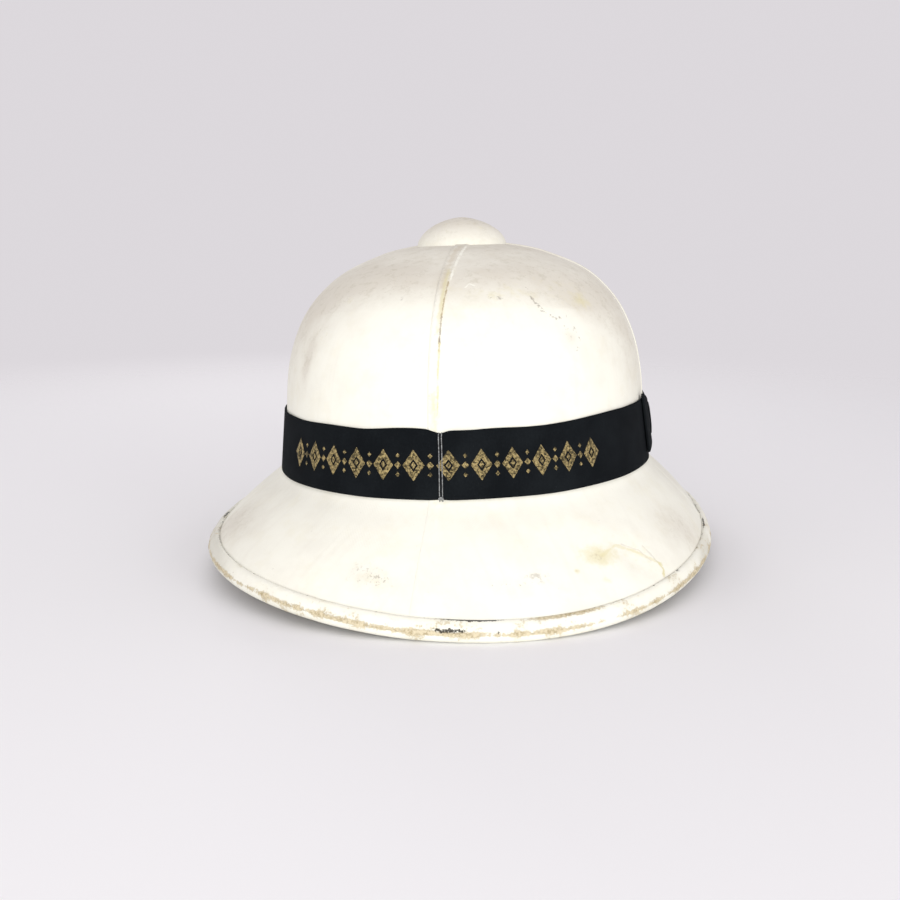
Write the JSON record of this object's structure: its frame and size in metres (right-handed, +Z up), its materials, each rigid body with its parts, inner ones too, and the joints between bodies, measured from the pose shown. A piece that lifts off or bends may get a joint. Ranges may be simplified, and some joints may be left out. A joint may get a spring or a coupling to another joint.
{
  "type": "pith helmet",
  "caption": "White canvas-covered cork sun helmet with a domed crown, a sloping brim, a dark ribbon with a flat side bow and a button ventilator.",
  "frame": {"origin": "on the surface that the helmet rests on, under the middle of the brim's outline", "axes": "+X towards the wearer's left, -Y towards the front, +Z up; the brim rests on the XY plane"},
  "size_m": [0.2612, 0.3428, 0.1744],
  "materials": {
    "cork": "pressed cork sheet, bare and matte",
    "white_canvas": "whitened canvas, matte, a little stained",
    "white_binding": "painted binding cloth, worn beige along its ridge",
    "navy_silk": "ribbed silk ribbon, soft sheen",
    "zinc": "dull grey metal"
  },
  "bodies": {
    "root": {"cork_shell": "cork", "cover_front_left": "white_canvas", "cover_back_left": "white_canvas", "cover_back_right": "white_canvas", "cover_front_right": "white_canvas", "brim_binding": "white_binding", "hat_ribbon": "navy_silk", "bow_loop_front": "navy_silk", "bow_loop_back": "navy_silk", "bow_knot": "navy_silk", "vent_cap": "white_canvas", "vent_collet": "zinc"}
  },
  "joints": []
}
